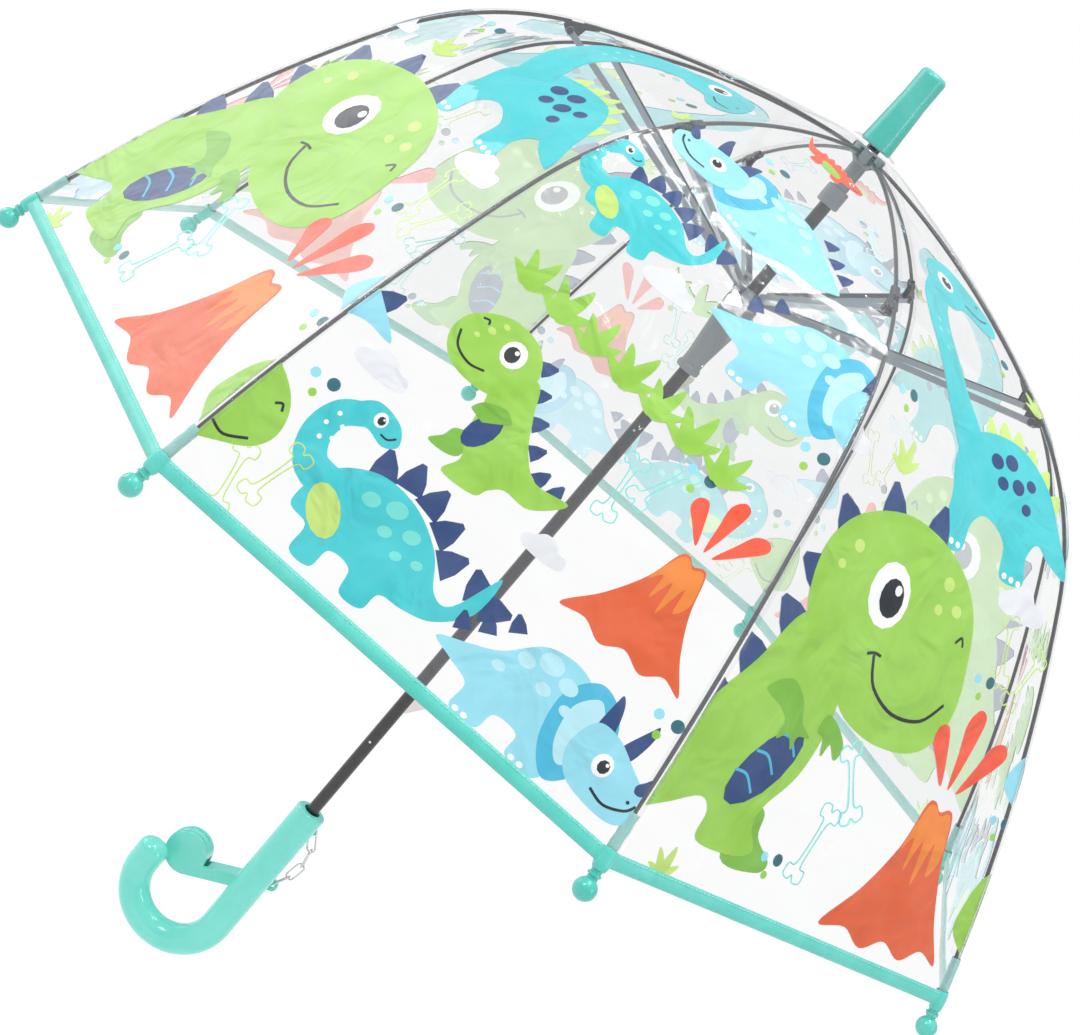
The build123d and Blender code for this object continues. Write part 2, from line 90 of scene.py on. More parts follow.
class Arc:
    """A circular arc through three points of the radius and height plane."""

    def __init__(self, first, middle, last):
        (ax, ay), (bx, by), (cx, cy) = first, middle, last
        d = 2 * (ax * (by - cy) + bx * (cy - ay) + cx * (ay - by))
        aa, bb, cc = ax * ax + ay * ay, bx * bx + by * by, cx * cx + cy * cy
        x = (aa * (by - cy) + bb * (cy - ay) + cc * (ay - by)) / d
        y = (aa * (cx - bx) + bb * (ax - cx) + cc * (bx - ax)) / d
        self.centre = (x, y)
        self.radius = math.hypot(ax - x, ay - y)
        self.start = math.atan2(ay - y, ax - x)
        end = math.atan2(cy - y, cx - x)
        self.sweep = (end - self.start + math.pi) % (2 * math.pi) - math.pi
        self.length = self.radius * abs(self.sweep)

    def at(self, share):
        """The point and the unit tangent at a share of the arc's length."""
        angle = self.start + self.sweep * share
        sign = 1 if self.sweep > 0 else -1
        cos, sin = math.cos(angle), math.sin(angle)
        point = (self.centre[0] + self.radius * cos, self.centre[1] + self.radius * sin)
        return point, (-sin * sign, cos * sign)


def tangent_arc(first, last, way):
    """The arc from first to last that leaves along way."""
    nx, ny = -way[1], way[0]
    dx, dy = last[0] - first[0], last[1] - first[1]
    k = (dx * dx + dy * dy) / (2 * (dx * nx + dy * ny))
    cx, cy = first[0] + nx * k, first[1] + ny * k
    a0 = math.atan2(first[1] - cy, first[0] - cx)
    sweep = (math.atan2(last[1] - cy, last[0] - cx) - a0 + math.pi) % (2 * math.pi) - math.pi
    middle = (cx + abs(k) * math.cos(a0 + sweep / 2), cy + abs(k) * math.sin(a0 + sweep / 2))
    return Arc(first, middle, last)


def bulged(first, last, bulge):
    """The arc from first to last that rises this far above its chord."""
    dx, dy = last[0] - first[0], last[1] - first[1]
    long = math.hypot(dx, dy)
    middle_x = (first[0] + last[0]) / 2 - dy / long * bulge
    middle_y = (first[1] + last[1]) / 2 + dx / long * bulge
    return Arc(first, (middle_x, middle_y), last)


RIB_UPPER = bulged(NOTCH_PIVOT, RIB_JOINT, UPPER_BULGE)
RIB_BEND = tangent_arc(RIB_JOINT, SHOULDER, RIB_UPPER.at(1)[1])
RIB_SKIRT = tangent_arc(SHOULDER, HEM_CORNER, RIB_BEND.at(1)[1])


def mid_gore(arc, share):
    """A point of the film in the middle of a gore, beside a place on the rib's centre line."""
    point, way = arc.at(share)
    return (point[0] - way[1] * FILM_STANDOFF) * math.cos(HALF_GORE), point[1] + way[0] * FILM_STANDOFF


FILM_ARCS = [
    Arc(CLAMP_EDGE, mid_gore(RIB_UPPER, 0.5), mid_gore(RIB_UPPER, 1)),
    Arc(*[mid_gore(RIB_BEND, share) for share in (0, 0.5, 1)]),
    Arc(*[mid_gore(RIB_SKIRT, share) for share in (0, 0.5, 1)]),
]
V_JOINT = FILM_ARCS[0].length
V_HEM = sum(arc.length for arc in FILM_ARCS)


def film_line(v):
    """The point and the tangent of the film's middle line at v metres down from the clamp."""
    if v < 0:
        return (CLAMP_EDGE[0] + v, CLAMP_EDGE[1]), (1, 0)
    for arc in FILM_ARCS[:-1]:
        if v < arc.length:
            return arc.at(v / arc.length)
        v -= arc.length
    return FILM_ARCS[-1].at(v / FILM_ARCS[-1].length)


def half_width(v):
    """Half the film's width across a gore."""
    return film_line(v)[0][0] * math.tan(HALF_GORE) - GORE_GAP


def gore_azimuth(gore):
    """The way a gore faces. Gore 0 faces along X."""
    return 2 * HALF_GORE * gore


def gore_number(gore):
    """The number in a gore's node names, where gore 0 is number 8."""
    return gore if gore else RIBS


def crumple(gore, x, v):
    """How far the film stands out: it sags between its ribs, with soft folds, and is held along them."""
    across = min(1, abs(x) / max(half_width(v), 1e-6))
    slack = (1 - across**2) * min(1, max(0, v) / 0.06)
    sag = -SAG * slack
    fold = sum(high * math.sin(down * v + wide * x + shift * gore) for high, wide, down, shift in SOFT_FOLDS)
    fine = FINE_FOLDS * math.sin(140 * x + 96 * v + gore) * math.sin(71 * v - 55 * x)
    near_joint = math.exp(-(((v - V_JOINT + 0.005) / PUCKER_REACH) ** 2))
    pucker = PUCKER * near_joint * math.sin(160 * x + 40 * v + 1.7 * gore)
    hem = min(1, max(0, (V_HEM - v) / 0.03))
    return (sag + (fold + fine + pucker) * slack) * (0.25 + 0.75 * hem)


def on_film(gore, x, v, above=0.0):
    """A point on or above the film of a gore: x across it, v down from the clamp."""
    (radius, z), way = film_line(v)
    out = above + crumple(gore, x, v)
    radius -= way[1] * out
    z += way[0] * out
    a = gore_azimuth(gore)
    return Vector((math.cos(a) * radius - math.sin(a) * x, math.sin(a) * radius + math.cos(a) * x, z))


# ------------------------------------------------------------------ materials
def linear(red, green, blue):
    """Display values of 0 to 255 as the scene's linear colour."""
    def channel(c):
        c /= 255
        return c / 12.92 if c <= 0.04045 else ((c + 0.055) / 1.055) ** 2.4
    return (channel(red), channel(green), channel(blue), 1.0)


def mixed(first, second, share):
    """A colour part of the way from the first to the second."""
    return tuple(a + (b - a) * share for a, b in zip(first, second))


WHITE = (0.92, 0.94, 0.95, 1.0)
BLACK = (0.0, 0.0, 0.0, 1.0)
FILM_GREY = (0.34, 0.36, 0.40, 1.0)
CREASE_DEPTH = 0.0006


class Nodes:
    """A short way to build one material's nodes."""

    def __init__(self, name, **sockets):
        self.material = bpy.data.materials.new(name)
        self.material.use_nodes = True
        self.tree = self.material.node_tree
        self.shader = self.tree.nodes["Principled BSDF"]
        for socket, value in sockets.items():
            self.shader.inputs[socket.replace("_", " ")].default_value = value
        self.place = self.add("ShaderNodeTexCoord").outputs["Object"]

    def add(self, kind, **settings):
        node = self.tree.nodes.new(kind)
        for key, value in settings.items():
            setattr(node, key, value)
        return node

    def link(self, source, target):
        self.tree.links.new(source, target)

    def stretched(self, scale):
        node = self.add("ShaderNodeMapping")
        node.inputs["Scale"].default_value = scale
        self.link(self.place, node.inputs["Vector"])
        return node.outputs["Vector"]

    def noise(self, scale, detail=3.0, roughness=0.5, distortion=0.0, vector=None, kind="FBM"):
        node = self.add("ShaderNodeTexNoise", noise_type=kind)
        node.inputs["Scale"].default_value = scale
        node.inputs["Detail"].default_value = detail
        node.inputs["Roughness"].default_value = roughness
        node.inputs["Distortion"].default_value = distortion
        self.link(vector or self.place, node.inputs["Vector"])
        return node.outputs["Fac"]

    def ramp(self, source, stops):
        node = self.add("ShaderNodeValToRGB")
        elements = node.color_ramp.elements
        while len(elements) < len(stops):
            elements.new(0.5)
        for element, (place, colour) in zip(elements, stops):
            element.position = place
            element.color = colour
        self.link(source, node.inputs["Fac"])
        return node.outputs["Color"]

    def span(self, source, low, high):
        node = self.add("ShaderNodeMapRange")
        node.inputs["To Min"].default_value = low
        node.inputs["To Max"].default_value = high
        self.link(source, node.inputs["Value"])
        return node.outputs["Result"]

    def bump(self, height, distance, strength=1.0, before=None):
        node = self.add("ShaderNodeBump")
        node.inputs["Strength"].default_value = strength
        node.inputs["Distance"].default_value = distance
        self.link(height, node.inputs["Height"])
        if before:
            self.link(before, node.inputs["Normal"])
        return node.outputs["Normal"]

    def to(self, source, socket):
        self.link(source, self.shader.inputs[socket])


def creased(nodes):
    """The creases of thin clear sheet: long soft folds with small sharp ones."""
    broad = nodes.noise(26, 2, 0.45, 1.6)
    sharp = nodes.noise(42, 3, 0.5, 1.2, kind="RIDGED_MULTIFRACTAL")
    return nodes.bump(sharp, CREASE_DEPTH * 1.6, 0.7, nodes.bump(broad, CREASE_DEPTH * 7, 0.9))


def clear_film(name, alpha, tint):
    """Clear glossy sheet that shows mostly by its reflections and a slight grey."""
    n = Nodes(name, Alpha=alpha, Roughness=0.06, IOR=1.5)
    n.shader.inputs["Coat Weight"].default_value = 1.0
    n.shader.inputs["Coat Roughness"].default_value = 0.03
    n.to(n.ramp(n.noise(14, 3, 0.6), [(0.3, mixed(tint, FILM_GREY, 0.5)), (0.7, tint)]), "Base Color")
    n.to(n.span(n.noise(60, 3), 0.03, 0.14), "Roughness")
    n.to(creased(n), "Normal")
    return n.material


def ink(name, colour, alpha, painted_backlight=0.0):
    """Printed ink: even colour, a little mottled, under gloss; its emission is painted backlight, a glow that
    stands in for the light that the ink lets through.
    """
    n = Nodes(name, Alpha=alpha, IOR=1.45)
    n.shader.inputs["Specular IOR Level"].default_value = 0.15
    n.shader.inputs["Emission Color"].default_value = colour
    n.shader.inputs["Emission Strength"].default_value = painted_backlight
    n.shader.inputs["Coat Weight"].default_value = 0.75
    n.shader.inputs["Coat Roughness"].default_value = 0.03
    darker = mixed(colour, BLACK, 0.08)
    lighter = mixed(colour, WHITE, 0.04)
    n.to(n.ramp(n.noise(35, 4, 0.6), [(0.3, darker), (0.7, lighter)]), "Base Color")
    n.to(n.span(n.noise(220, 2), 0.28, 0.4), "Roughness")
    n.to(creased(n), "Normal")
    return n.material


def moulded(name, colour, roughness=0.2, subsurface=0.15, depth=0.00002):
    """Glossy moulded plastic, slightly milky, with flow marks and a fine surface."""
    n = Nodes(name, IOR=1.5)
    n.shader.inputs["Subsurface Weight"].default_value = subsurface
    n.shader.inputs["Subsurface Radius"].default_value = (0.004, 0.006, 0.006)
    n.shader.inputs["Coat Weight"].default_value = 0.4
    n.shader.inputs["Coat Roughness"].default_value = 0.08
    darker, lighter = mixed(colour, BLACK, 0.08), mixed(colour, WHITE, 0.07)
    n.to(n.ramp(n.noise(18, 4, 0.6, 1.5), [(0.25, darker), (0.75, lighter)]), "Base Color")
    n.to(n.span(n.noise(160, 3), roughness * 0.7, roughness * 1.5), "Roughness")
    n.to(n.bump(n.noise(420, 3), depth, 0.35, n.bump(n.noise(30, 2), depth * 12, 0.3)), "Normal")
    return n.material


def painted_steel(name, colour, roughness=0.3, metallic=0.55, worn=(0.35, 0.36, 0.38, 1)):
    """Painted or plated steel with drawn lines along it and small worn spots."""
    n = Nodes(name, Metallic=metallic)
    n.shader.inputs["Coat Weight"].default_value = 0.5
    n.shader.inputs["Coat Roughness"].default_value = 0.12
    stops = [(0.0, colour), (0.66, mixed(colour, worn, 0.08)), (0.84, mixed(colour, worn, 0.5))]
    n.to(n.ramp(n.noise(260, 5, 0.7), stops), "Base Color")
    n.to(n.span(n.noise(90, 4), roughness * 0.7, roughness * 1.4), "Roughness")
    drawn = n.noise(300, 2, vector=n.stretched((1, 1, 0.05)))
    n.to(n.bump(drawn, 0.00002, 0.4), "Normal")
    return n.material


def ribbon(name, colour, alpha):
    """Thin shiny tape: a fine weave, lengthwise streaks and soft wrinkles."""
    n = Nodes(name, Alpha=alpha, IOR=1.45)
    n.shader.inputs["Sheen Weight"].default_value = 0.25
    n.shader.inputs["Coat Weight"].default_value = 0.25
    n.shader.inputs["Coat Roughness"].default_value = 0.2
    darker, lighter = mixed(colour, BLACK, 0.12), mixed(colour, WHITE, 0.05)
    n.to(n.ramp(n.noise(55, 4, 0.65, 0.6), [(0.28, darker), (0.72, lighter)]), "Base Color")
    weave = n.add("ShaderNodeTexWave", wave_type="BANDS", bands_direction="DIAGONAL")
    weave.inputs["Scale"].default_value = 900
    n.link(n.place, weave.inputs["Vector"])
    n.to(n.span(n.noise(150, 3), 0.3, 0.5), "Roughness")
    n.to(n.bump(weave.outputs["Fac"], 0.00005, 0.5, n.bump(n.noise(120, 3), 0.0005, 0.6)), "Normal")
    return n.material


TEAL = linear(82, 214, 198)
MINT = linear(114, 230, 214)
HANDLE = moulded("mint_plastic", MINT)
TRIM = moulded("teal_plastic", linear(72, 200, 184), 0.25)
FERRULE = moulded("ferrule_plastic", linear(66, 188, 174), 0.35, 0.0, 0.000004)
GREY_PLASTIC = moulded("grey_plastic", linear(120, 124, 130), 0.4, 0.0)
BLACK_STEEL = painted_steel("black_steel", linear(24, 24, 27), 0.28, 0.3)
SHAFT_STEEL = painted_steel("shaft_steel", linear(34, 32, 34), 0.24, 0.35)
GREY_STEEL = painted_steel("grey_steel", linear(150, 152, 160), 0.3, 0.7, (0.6, 0.6, 0.62, 1))
BRIGHT_WIRE = painted_steel("bright_wire", linear(214, 208, 206), 0.12, 1.0, (0.9, 0.9, 0.9, 1))
FILM = clear_film("clear_film", 0.15, (0.46, 0.46, 0.47, 1))
SEAM = clear_film("welded_film", 0.14, (0.38, 0.39, 0.41, 1))
TAPE = ribbon("hem_tape", TEAL, 0.94)
# The tape's inside is mixed towards white: painted backlight, for light coming through the translucent tape.
TAPE_INSIDE_BACKLIT = ribbon("hem_tape_inside_backlit", mixed(TEAL, WHITE, 0.45), 0.9)
POCKET = ribbon("rib_pocket", linear(170, 226, 220), 0.62)
THREAD = ribbon("thread", linear(196, 240, 232), 1.0)

INKS = {
    "lime": linear(150, 204, 72),
    "dark_lime": linear(122, 184, 60),
    "pale_lime": linear(196, 226, 120),
    "teal": linear(58, 200, 206),
    "pale_teal": linear(120, 224, 214),
    "sky": linear(146, 218, 234),
    "pale_sky": linear(184, 232, 242),
    "blue": linear(70, 184, 218),
    "navy": linear(36, 68, 122),
    "deep_teal": linear(30, 104, 116),
    "black": linear(26, 34, 44),
    "white": linear(250, 250, 250),
    "orange": linear(224, 92, 40),
    "light_orange": linear(240, 136, 52),
    "red": linear(240, 84, 50),
    "cloud": linear(226, 228, 232),
}
INK_NAMES = list(INKS)
INK_MATERIALS = [ink(f"ink_{name}", colour, 0.94) for name, colour in INKS.items()]
# The backs seen from inside are mixed half way to white and glow: painted backlight, for light coming in
# through the film and the ink.
for name, colour in INKS.items():
    INK_MATERIALS.append(ink(f"ink_{name}_back", mixed(colour, WHITE, 0.5), 0.88, 0.3))


# ------------------------------------------------------------------ drawing
def smooth(points, closed=True, steps=6):
    """A smooth line through a few points."""
    count = len(points)
    line = []
    for i in range(count if closed else count - 1):
        near = (i - 1, i, i + 1, i + 2)
        pick = [points[k % count if closed else min(max(k, 0), count - 1)] for k in near]
        for s in range(steps):
            t = s / steps
            weights = (
                (-t + 2 * t**2 - t**3) / 2,
                (2 - 5 * t**2 + 3 * t**3) / 2,
                (t + 4 * t**2 - 3 * t**3) / 2,
                (t**3 - t**2) / 2,
            )
            line.append(tuple(sum(w * p[axis] for w, p in zip(weights, pick)) for axis in (0, 1)))
    if not closed:
        line.append(tuple(points[-1]))
    return line


def turned(x, y, turn, points):
    """The points turned by some degrees and moved to x, y."""
    a = math.radians(turn)
    c, s = math.cos(a), math.sin(a)
    return [(x + px * c - py * s, y + px * s + py * c) for px, py in points]


class Drawing:
    """Flat coloured shapes in millimetres, each drawn over the ones before it."""

    def __init__(self):
        self.shapes = []

    def blob(self, colour, points):
        self.shapes.append((colour, [smooth(points)]))

    def oval(self, colour, x, y, rx, ry=None, turn=0):
        ry = ry or rx
        count = 14 if rx > 3 else 9
        angles = [2 * math.pi * i / count for i in range(count)]
        ring = [(rx * math.cos(a), ry * math.sin(a)) for a in angles]
        self.shapes.append((colour, [turned(x, y, turn, ring)]))

    def stroke(self, colour, points, width, end_width=None, closed=False):
        """A line that may narrow towards its end."""
        line = smooth(points, closed, 5)
        end_width = end_width or width
        left, right = [], []
        count = len(line)
        for i, (x, y) in enumerate(line):
            if closed:
                before, after = line[i - 1], line[(i + 1) % count]
            else:
                before, after = line[max(i - 1, 0)], line[min(i + 1, count - 1)]
            dx, dy = after[0] - before[0], after[1] - before[1]
            long = math.hypot(dx, dy) or 1
            w = (width + (end_width - width) * i / count) / 2
            left.append((x - dy / long * w, y + dx / long * w))
            right.append((x + dy / long * w, y - dx / long * w))
        last = count if closed else count - 1
        quads = [[left[i], right[i], right[(i + 1) % count], left[(i + 1) % count]] for i in range(last)]
        self.shapes.append((colour, quads))

    def drop(self, colour, x, y, turn, length, width):
        """A drop or a horn: a point at x, y that widens along its way."""
        outline = [(0, 0), (0.45, 0.32), (0.8, 0.5), (1, 0.1), (0.92, -0.4), (0.5, -0.3)]
        self.blob(colour, turned(x, y, turn, [(along * length, across * width) for along, across in outline]))

    def horn(self, colour, x, y, turn, length, width):
        """A curved point: its middle starts at x, y and it narrows along its way."""
        outline = [(-0.08, 0), (0.08, -0.45), (0.5, -0.42), (0.85, -0.2), (1, 0.12), (0.7, 0.24),
                   (0.35, 0.42), (0.06, 0.42)]
        self.blob(colour, turned(x, y, turn, [(along * length, across * width) for along, across in outline]))

    def spikes(self, colour, places, size):
        """Rounded triangles; each place is x, y and the way it points."""
        shape = [(-0.55, -0.25), (0.55, -0.25), (0.42, 0.3), (0.1, 0.85), (-0.1, 0.85), (-0.42, 0.3)]
        faces = []
        for x, y, turn in places:
            a = math.radians(turn)
            c, s = math.cos(a), math.sin(a)
            faces.append([(x + size * (py * c + px * s), y + size * (py * s - px * c)) for px, py in shape])
        self.shapes.append((colour, faces))

    def place(self, other, x, y, scale=1.0, turn=0, flip=False):
        """Adds another drawing: its own origin goes to x, y."""
        a = math.radians(turn)
        c, s = math.cos(a) * scale, math.sin(a) * scale
        for colour, faces in other.shapes:
            moved = []
            for face in faces:
                spots = [(-px if flip else px, py) for px, py in face]
                moved.append([(x + px * c - py * s, y + px * s + py * c) for px, py in spots])
            self.shapes.append((colour, moved))


def eye(d, x, y, size, look=0.15):
    """A round eye with its pupil to one side and a glint."""
    d.oval("white", x, y, size, size * 1.1)
    d.oval("black", x + size * look, y - size * 0.05, size * 0.58, size * 0.66)
    d.oval("white", x + size * (look + 0.2), y + size * 0.28, size * 0.18)


def tall_biped():
    """A big-headed dinosaur standing on two legs, facing right, on the gore's own coordinates."""
    d = Drawing()
    d.spikes("navy", [(-121, 90, 148), (-106, 112, 142), (-91, 136, 146), (-86, 162, 165), (-78, 190, 135),
                      (-50, 207, 110), (-14, 210, 88)], 18)
    d.blob("dark_lime", [(-68, 52), (-54, 52), (-50, 40), (-36, 31), (-42, 24), (-68, 24)])
    d.blob("lime", [(-152, 24), (-137, 54), (-122, 86), (-103, 114), (-87, 142), (-60, 152), (-42, 126),
                    (-38, 98), (-43, 74), (-56, 55), (-58, 44), (-50, 33), (-62, 27), (-88, 27), (-90, 41),
                    (-99, 46), (-120, 36)])
    d.oval("navy", -68, 71, 27, 12, 54)
    for x, y in [(-77, 60), (-69, 72), (-60, 84)]:
        d.stroke("blue", [(x - 9, y + 4), (x, y + 4), (x + 8, y - 3)], 1.5)
    d.blob("lime", [(-87, 148), (-89, 176), (-72, 198), (-36, 211), (4, 206), (30, 188), (42, 158),
                    (44, 130), (30, 111), (2, 104), (-26, 107), (-46, 117), (-66, 126)])
    d.blob("dark_lime", [(-90, 104), (-76, 113), (-63, 107), (-57, 97), (-48, 92), (-56, 90), (-57, 83),
                         (-63, 89), (-70, 85), (-69, 94), (-76, 99)])
    d.blob("dark_lime", [(-42, 106), (-32, 104), (-22, 96), (-24, 88), (-31, 94), (-34, 87), (-38, 95),
                         (-44, 97)])
    eye(d, -34, 171, 15)
    d.stroke("black", [(-29, 142), (-20, 128), (0, 121), (22, 125), (35, 138)], 1.9)
    d.stroke("black", [(-34, 141), (-29, 143), (-24, 143)], 1.6)
    d.stroke("black", [(25, 168), (29, 172), (32, 168)], 1.6)
    for x, y, r in [(6, 192, 4.6), (18, 182, 4), (4, 178, 3.4), (-66, 184, 4), (-74, 172, 3)]:
        d.oval("pale_lime", x, y, r, r * 0.8)
    return d


def small_biped():
    """A little dinosaur on two legs with a spread tail, facing left, on the gore's own coordinates."""
    d = Drawing()
    d.spikes("navy", [(-32, 153, 40), (-26, 141, 40), (-18, 130, 40), (-10, 119, 48), (0, 111, 65),
                      (10, 110, 80)], 7.5)
    d.blob("dark_lime", [(-44, 104), (-36, 106), (-34, 96), (-40, 92), (-50, 92), (-46, 98)])
    d.blob("lime", [(-44, 134), (-30, 146), (-21, 132), (-12, 118), (0, 109), (18, 111), (6, 98), (-8, 97),
                    (-14, 92), (-18, 86), (-36, 85), (-33, 95), (-39, 106), (-42, 120)])
    d.oval("navy", -34, 111, 11, 6, 72)
    d.blob("lime", [(-76, 136), (-74, 150), (-58, 161), (-40, 159), (-31, 147), (-34, 132), (-47, 125),
                    (-66, 126)])
    d.blob("dark_lime", [(-26, 122), (-32, 126), (-42, 122), (-45, 116), (-39, 119), (-37, 114), (-33, 119)])
    eye(d, -47, 148, 6.4, -0.1)
    d.stroke("black", [(-73, 141), (-69, 134), (-60, 131), (-52, 133)], 1.2)
    d.stroke("black", [(-69, 152), (-66, 153), (-65, 151)], 1.1)
    for x, y, r in [(-62, 150, 2.2), (-58, 156, 1.8), (-66, 144, 1.6)]:
        d.oval("pale_lime", x, y, r, r * 0.8)
    return d


def plated():
    """A long-necked dinosaur with plates on its back, facing right. The origin is its middle."""
    d = Drawing()
    d.spikes("navy", [(-19, 27, 112), (-6, 31, 98), (7, 29, 80), (19, 23, 62), (29, 14, 50), (49, 14, 130),
                      (57, 12, 20)], 13)
    d.blob("teal", [(-42, -10), (-38, 12), (-20, 25), (2, 25), (22, 15), (34, 1), (44, 2), (53, 26),
                    (54, 6), (42, -9), (28, -14), (16, -16), (14, -26), (2, -27), (-2, -16), (-14, -16),
                    (-16, -27), (-28, -27), (-30, -14)])
    d.stroke("teal", [(-28, 6), (-46, 8), (-54, 20), (-52, 34), (-42, 42)], 18, 11)
    d.blob("teal", [(-50, 42), (-42, 50), (-28, 48), (-22, 40), (-28, 35), (-38, 37), (-46, 34)])
    d.oval("pale_lime", -28, -4, 13, 8, -44)
    for x, y, rx in [(-15, 14, 4.6), (-3, 18, 5.4), (10, 13, 4.4), (-1, 7, 3.6), (20, 5, 3), (10, 2, 3)]:
        d.oval("pale_teal", x, y, rx, rx * 0.76, 20)
    eye(d, -36, 44, 3.4)
    d.stroke("black", [(-32, 39), (-28, 39), (-25, 42)], 1.0)
    for x, y in [(-52, 34), (-54, 27), (-52, 20), (-47, 30), (-47, 23)]:
        d.oval("white", x, y, 1.2)
    return d


def horned():
    """A heavy four-legged dinosaur with a neck frill and horns, facing right. The origin is its middle."""
    d = Drawing()
    d.spikes("navy", [(-46, 5, 120), (-36, 11, 118), (-26, 20, 125)], 8)
    d.blob("sky", [(-52, -6), (-38, 1), (-25, 8), (-10, 23), (10, 25), (24, 14), (28, -8), (22, -26),
                   (6, -26), (4, -16), (-9, -16), (-12, -26), (-27, -26), (-28, -14), (-40, -10)])
    d.blob("blue", [(18, 26), (8, 12), (12, -10), (25, -23), (36, -12), (40, 8), (32, 22)])
    d.blob("pale_sky", [(22, 20), (15, 10), (18, -6), (26, -14), (32, -6), (34, 8), (28, 17)])
    d.horn("navy", 33, 8, 98, 21, 9)
    d.horn("navy", 46, 7, 76, 22, 8)
    d.blob("sky", [(28, 12), (40, 13), (53, 7), (64, 1), (69, -8), (62, -18), (46, -19), (31, -15), (24, -3)])
    d.horn("navy", 61, 0, 62, 13, 6)
    eye(d, 42, -1, 5)
    d.stroke("black", [(44, -12), (53, -14), (62, -10), (65, -5)], 1.3)
    d.oval("black", 61, -6, 0.9)
    for x, y, rx in [(-14, 12, 4.6), (-4, 18, 6.4), (8, 15, 5), (0, 7, 4), (-22, 2, 3.4), (14, 6, 3.4)]:
        d.oval("pale_sky", x, y, rx, rx * 0.74)
    for x in (-24, -19, 9, 14):
        d.oval("white", x, -25, 1.8, 1.4)
    return d


def longneck():
    """A tall dinosaur with a long straight neck, facing right, on the gore's own coordinates."""
    d = Drawing()
    d.spikes("pale_lime", [(16, 279, 98), (28, 282, 92), (40, 282, 86), (52, 278, 74), (63, 271, 62),
                           (72, 261, 52)], 11)
    d.blob("teal", [(-12, 234), (-14, 254), (-2, 271), (22, 281), (48, 281), (68, 268), (81, 248),
                    (94, 228), (76, 231), (64, 236), (57, 226), (60, 212), (42, 210), (37, 227), (20, 234),
                    (9, 226), (6, 210), (-12, 210)])
    d.stroke("teal", [(2, 258), (-16, 286), (-23, 318), (-19, 346), (-4, 368)], 25, 17)
    d.blob("teal", [(-15, 366), (-9, 384), (8, 391), (24, 382), (38, 364), (38, 352), (26, 350), (12, 356),
                    (-2, 352)])
    for x, y, rx in [(22, 266, 5.4), (34, 270, 5.6), (28, 256, 4.6), (41, 259, 5.4), (52, 264, 4.2),
                     (50, 250, 4)]:
        d.oval("navy", x, y, rx, rx * 0.8, 15)
    eye(d, 2, 373, 6.4)
    d.stroke("black", [(14, 362), (24, 358), (33, 360)], 1.3)
    d.oval("black", 28, 369, 1.1)
    for x, y in [(-24, 330), (-26, 322), (-22, 312), (-17, 326), (-17, 316)]:
        d.oval("pale_teal", x, y, 1.7)
    for x in (-9, -3, 3, 45, 51, 57):
        d.oval("white", x, 212, 2, 1.7)
    return d


def volcano():
    """A volcano with lava and drops of fire. The origin is the middle of its base."""
    d = Drawing()
    d.blob("orange", [(-10, 76), (-4, 80), (2, 76), (9, 79), (14, 74), (22, 48), (36, 22), (52, 1), (36, 5),
                      (22, -4), (4, 2), (-12, -6), (-30, 1), (-50, -2), (-32, 22), (-17, 50)])
    d.blob("light_orange", [(-9, 74), (-3, 78), (3, 74), (9, 77), (13, 73), (18, 54), (12, 42), (8, 60),
                            (3, 34), (-1, 58), (-7, 40), (-9, 58), (-16, 50)])
    for turn, length, start in [(122, 34, -6), (88, 46, 1), (56, 42, 8)]:
        d.drop("red", start, 88, turn, length, 14)
    return d


def bone(colour):
    """The outline of a bone that stands upright."""
    d = Drawing()
    outline = [(-2, -12), (-7, -15), (-7, -21), (-2, -22), (0, -19), (3, -22), (8, -20), (7, -14), (2, -12)]
    top = [(-x, -y) for x, y in outline]
    d.stroke(colour, outline + top, 0.8, closed=True)
    return d


def cloud():
    """A low cloud. The origin is its middle."""
    d = Drawing()
    d.blob("cloud", [(-22, -6), (-24, 2), (-14, 8), (-6, 14), (6, 13), (12, 7), (22, 6), (24, -4), (12, -8),
                     (-8, -9)])
    return d


def sprig(colour="pale_lime"):
    """A low plant with four pointed leaves."""
    d = Drawing()
    for turn, length in [(158, 13), (118, 17), (76, 19), (34, 15)]:
        d.horn(colour, 0, 0, turn, length, length * 0.42)
    return d


def dots():
    """Three small dots round the origin."""
    d = Drawing()
    d.oval("deep_teal", 5, 4, 3.2)
    d.oval("sky", -5, 3, 2.6)
    d.oval("lime", 0, -5, 2.1)
    return d


def crawler():
    """A small spiny dinosaur on four legs, facing right. The origin is its middle."""
    d = Drawing()
    d.spikes("red", [(-12, 8, 112), (-6, 10, 104), (0, 11, 92), (6, 10, 80), (12, 8, 68)], 5)
    d.blob("red", [(-31, 15), (-22, 5), (-12, 8), (0, 10), (11, 9), (19, 8), (29, 2), (28, -4), (18, -5),
                   (13, -7), (14, -14), (7, -14), (3, -8), (-5, -8), (-7, -14), (-14, -14), (-14, -6),
                   (-22, -4)])
    d.blob("lime", [(-8, 0), (0, 2), (9, -1), (9, -8), (-4, -9)])
    eye(d, 18, 3, 2.2)
    d.stroke("black", [(19, -2), (23, -3), (27, -1)], 0.8)
    return d


